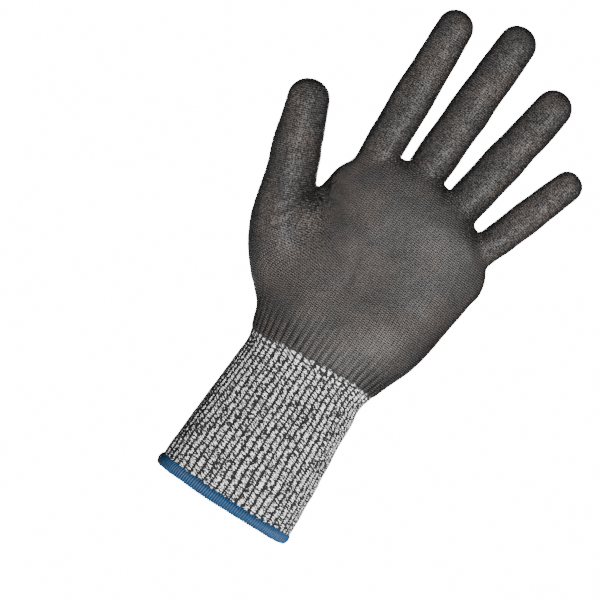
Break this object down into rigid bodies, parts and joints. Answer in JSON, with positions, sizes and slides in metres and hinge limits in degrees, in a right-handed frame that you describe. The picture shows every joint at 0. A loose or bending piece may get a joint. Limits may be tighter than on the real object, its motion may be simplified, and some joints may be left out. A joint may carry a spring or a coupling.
{
  "type": "cut resistant work glove",
  "caption": "Seamless melange knit work glove for the left hand, dark coating dipped over palm and fingertips, ribbed cuff with a blue overlocked hem, open hand.",
  "frame": {"origin": "centre of the cuff opening", "axes": "+Z runs from the cuff opening up to the fingertips, the palm faces -Y and the thumb points to -X"},
  "size_m": [0.1443, 0.0562, 0.2747],
  "materials": {
    "liner_knit": "melange plain knit",
    "rib_knit": "melange rib knit",
    "coated_knit": "coated knit, folded",
    "polyurethane": "matt film with the knit showing through",
    "overlock_thread": "blue textured thread",
    "elastic_yarn": "covered elastic yarn"
  },
  "bodies": {
    "cuff": {"rib_cuff": "rib_knit", "cuff_hem": "overlock_thread", "elastic_yarn_1": "elastic_yarn", "elastic_yarn_2": "elastic_yarn", "elastic_yarn_3": "elastic_yarn", "elastic_yarn_4": "elastic_yarn", "wrist_fold": "rib_knit"},
    "hand": {"palm_liner": "liner_knit", "back_liner": "liner_knit", "palm_coating": "polyurethane", "index_base_fold": "coated_knit", "middle_base_fold": "coated_knit", "ring_base_fold": "coated_knit", "pinky_base_fold": "coated_knit", "thumb_base_fold": "coated_knit"},
    "index_base": {"index_base_sleeve": "liner_knit", "index_base_coating": "polyurethane", "index_middle_fold": "coated_knit"},
    "index_middle": {"index_middle_sleeve": "liner_knit", "index_middle_coating": "polyurethane", "index_end_fold": "coated_knit"},
    "index_tip": {"index_tip_sleeve": "liner_knit", "index_tip_coating": "polyurethane"},
    "middle_base": {"middle_base_sleeve": "liner_knit", "middle_base_coating": "polyurethane", "middle_middle_fold": "coated_knit"},
    "middle_middle": {"middle_middle_sleeve": "liner_knit", "middle_middle_coating": "polyurethane", "middle_end_fold": "coated_knit"},
    "middle_tip": {"middle_tip_sleeve": "liner_knit", "middle_tip_coating": "polyurethane"},
    "ring_base": {"ring_base_sleeve": "liner_knit", "ring_base_coating": "polyurethane", "ring_middle_fold": "coated_knit"},
    "ring_middle": {"ring_middle_sleeve": "liner_knit", "ring_middle_coating": "polyurethane", "ring_end_fold": "coated_knit"},
    "ring_tip": {"ring_tip_sleeve": "liner_knit", "ring_tip_coating": "polyurethane"},
    "pinky_base": {"pinky_base_sleeve": "liner_knit", "pinky_base_coating": "polyurethane", "pinky_middle_fold": "coated_knit"},
    "pinky_middle": {"pinky_middle_sleeve": "liner_knit", "pinky_middle_coating": "polyurethane", "pinky_end_fold": "coated_knit"},
    "pinky_tip": {"pinky_tip_sleeve": "liner_knit", "pinky_tip_coating": "polyurethane"},
    "thumb_base": {"thumb_base_sleeve": "liner_knit", "thumb_base_coating": "polyurethane", "thumb_end_fold": "coated_knit"},
    "thumb_tip": {"thumb_tip_sleeve": "liner_knit", "thumb_tip_coating": "polyurethane"}
  },
  "joints": [
    {"name": "wrist_bend", "type": "hinge", "parent": "cuff", "child": "hand", "pos_m": [0, 0, 0.075], "axis": [1, 0, 0], "range_deg": [-35, 40], "stiffness_Nm_per_rad": 0.12, "deforming": ["wrist_fold"]},
    {"name": "index_base_bend", "type": "hinge", "parent": "hand", "child": "index_base", "pos_m": [-0.02777, -0.00255, 0.19484], "axis": [0.9994, 0, 0.0349], "range_deg": [-10, 70], "stiffness_Nm_per_rad": 0.015, "deforming": ["index_base_fold"]},
    {"name": "index_middle_bend", "type": "hinge", "parent": "index_base", "child": "index_middle", "pos_m": [-0.02858, -0.00417, 0.21797], "axis": [0.9994, 0, 0.0349], "range_deg": [0, 85], "stiffness_Nm_per_rad": 0.006, "deforming": ["index_middle_fold"]},
    {"name": "index_end_bend", "type": "hinge", "parent": "index_middle", "child": "index_tip", "pos_m": [-0.0294, -0.0058, 0.24129], "axis": [0.9994, 0, 0.0349], "range_deg": [0, 42.5], "stiffness_Nm_per_rad": 0.003, "deforming": ["index_end_fold"]},
    {"name": "middle_base_bend", "type": "hinge", "parent": "hand", "child": "middle_base", "pos_m": [-0.00308, -0.00242, 0.20038], "axis": [0.9992, 0, -0.0401], "range_deg": [-10, 70], "stiffness_Nm_per_rad": 0.015, "deforming": ["middle_base_fold"]},
    {"name": "middle_middle_bend", "type": "hinge", "parent": "middle_base", "child": "middle_middle", "pos_m": [-0.00208, -0.00372, 0.22532], "axis": [0.9992, 0, -0.0401], "range_deg": [0, 85], "stiffness_Nm_per_rad": 0.006, "deforming": ["middle_middle_fold"]},
    {"name": "middle_end_bend", "type": "hinge", "parent": "middle_middle", "child": "middle_tip", "pos_m": [-0.00109, -0.00502, 0.25002], "axis": [0.9992, 0, -0.0401], "range_deg": [0, 42.5], "stiffness_Nm_per_rad": 0.003, "deforming": ["middle_end_fold"]},
    {"name": "ring_base_bend", "type": "hinge", "parent": "hand", "child": "ring_base", "pos_m": [0.02206, -0.00255, 0.19542], "axis": [0.9848, 0, -0.1736], "range_deg": [-10, 70], "stiffness_Nm_per_rad": 0.015, "deforming": ["ring_base_fold"]},
    {"name": "ring_middle_bend", "type": "hinge", "parent": "ring_base", "child": "ring_middle", "pos_m": [0.02563, -0.00399, 0.21566], "axis": [0.9848, 0, -0.1736], "range_deg": [0, 85], "stiffness_Nm_per_rad": 0.006, "deforming": ["ring_middle_fold"]},
    {"name": "ring_end_bend", "type": "hinge", "parent": "ring_middle", "child": "ring_tip", "pos_m": [0.02935, -0.00549, 0.23673], "axis": [0.9848, 0, -0.1736], "range_deg": [0, 42.5], "stiffness_Nm_per_rad": 0.003, "deforming": ["ring_end_fold"]},
    {"name": "pinky_base_bend", "type": "hinge", "parent": "hand", "child": "pinky_base", "pos_m": [0.04498, -0.00296, 0.18585], "axis": [0.9421, 0, -0.3355], "range_deg": [-10, 64], "stiffness_Nm_per_rad": 0.015, "deforming": ["pinky_base_fold"]},
    {"name": "pinky_middle_bend", "type": "hinge", "parent": "pinky_base", "child": "pinky_middle", "pos_m": [0.04931, -0.00454, 0.19801], "axis": [0.9421, 0, -0.3355], "range_deg": [0, 85], "stiffness_Nm_per_rad": 0.006, "deforming": ["pinky_middle_fold"]},
    {"name": "pinky_end_bend", "type": "hinge", "parent": "pinky_middle", "child": "pinky_tip", "pos_m": [0.05455, -0.00646, 0.21273], "axis": [0.9421, 0, -0.3355], "range_deg": [0, 42.5], "stiffness_Nm_per_rad": 0.003, "deforming": ["pinky_end_fold"]},
    {"name": "thumb_base_bend", "type": "hinge", "parent": "hand", "child": "thumb_base", "pos_m": [-0.054, -0.003, 0.141], "axis": [-0.6248, 0, -0.7808], "range_deg": [-50, 10], "stiffness_Nm_per_rad": 0.03, "deforming": ["thumb_base_fold"]},
    {"name": "thumb_end_bend", "type": "hinge", "parent": "thumb_base", "child": "thumb_tip", "pos_m": [-0.06267, -0.00866, 0.16816], "axis": [-0.7424, -0.568, -0.3552], "range_deg": [-60, 5], "stiffness_Nm_per_rad": 0.008, "deforming": ["thumb_end_fold"]}
  ],
  "couplings": [
    {"joint": "index_end_bend", "follows": "index_middle_bend", "ratio": 0.5},
    {"joint": "middle_end_bend", "follows": "middle_middle_bend", "ratio": 0.5},
    {"joint": "ring_end_bend", "follows": "ring_middle_bend", "ratio": 0.5},
    {"joint": "pinky_end_bend", "follows": "pinky_middle_bend", "ratio": 0.5}
  ]
}
